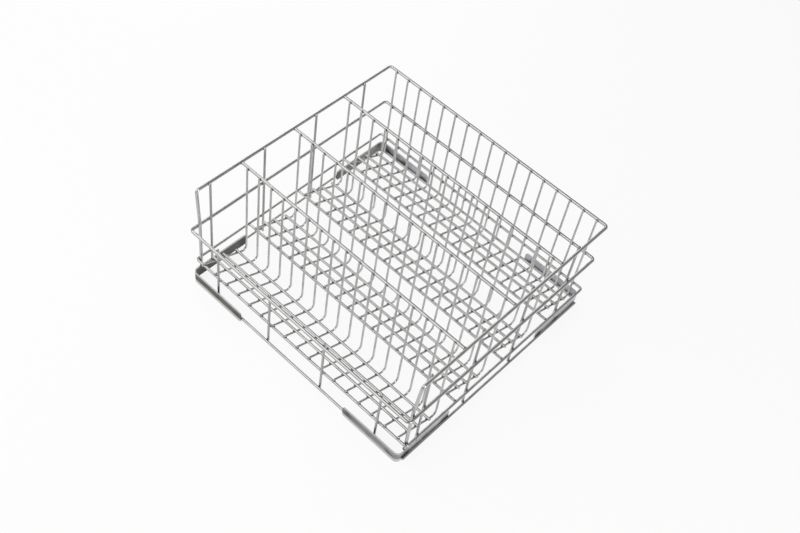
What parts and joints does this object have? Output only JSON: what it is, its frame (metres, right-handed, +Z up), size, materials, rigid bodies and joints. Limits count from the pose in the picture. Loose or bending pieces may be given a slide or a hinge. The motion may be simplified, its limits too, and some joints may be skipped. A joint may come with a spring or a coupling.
{
  "type": "dishwasher basket",
  "caption": "Open-topped basket of welded round steel wire, low at the front, with sloping rows of bent wires that hold dishes leaning back, on bent corner plates.",
  "frame": {"origin": "on the ground under the middle of the basket", "axes": "+Z up, +Y to the high back, +X along the low front to the right as seen from the front"},
  "size_m": [0.53, 0.5, 0.234],
  "materials": {
    "frame_wire": "electropolished stainless steel, bright",
    "lower_wire": "electropolished stainless steel, bright",
    "post_wire": "electropolished stainless steel, bright",
    "row_wire": "electropolished stainless steel, bright",
    "corner_plate": "smooth rolled stainless sheet, satin"
  },
  "bodies": {
    "root": {"base_back_wire": "lower_wire", "base_front_wire": "lower_wire", "base_left_wire": "lower_wire", "base_right_wire": "lower_wire", "corner_plate_back_left": "corner_plate", "corner_plate_back_right": "corner_plate", "corner_plate_front_left": "corner_plate", "corner_plate_front_right": "corner_plate", "front_post_1": "post_wire", "front_post_2": "post_wire", "front_post_3": "post_wire", "front_post_4": "post_wire", "left_post_1": "post_wire", "left_post_2": "post_wire", "left_post_3": "post_wire", "left_post_4": "post_wire", "low_ring": "lower_wire", "mid_ring": "frame_wire", "right_post_1": "post_wire", "right_post_2": "post_wire", "right_post_3": "post_wire", "right_post_4": "post_wire", "row_1_floor_rail_1": "lower_wire", "row_1_floor_rail_2": "lower_wire", "row_1_floor_rail_3": "lower_wire", "row_1_top_rail": "frame_wire", "row_1_wires": "row_wire", "row_2_floor_rail_1": "lower_wire", "row_2_floor_rail_2": "lower_wire", "row_2_floor_rail_3": "lower_wire", "row_2_front_rail": "lower_wire", "row_2_top_rail": "frame_wire", "row_2_wires": "row_wire", "row_3_floor_rail_1": "lower_wire", "row_3_floor_rail_2": "lower_wire", "row_3_floor_rail_3": "lower_wire", "row_3_front_rail": "lower_wire", "row_3_top_rail": "frame_wire", "row_3_wires": "row_wire", "row_4_floor_rail_1": "lower_wire", "row_4_floor_rail_2": "lower_wire", "row_4_floor_rail_3": "lower_wire", "row_4_front_rail": "lower_wire", "row_4_wires": "row_wire", "top_rim": "frame_wire"}
  },
  "joints": []
}
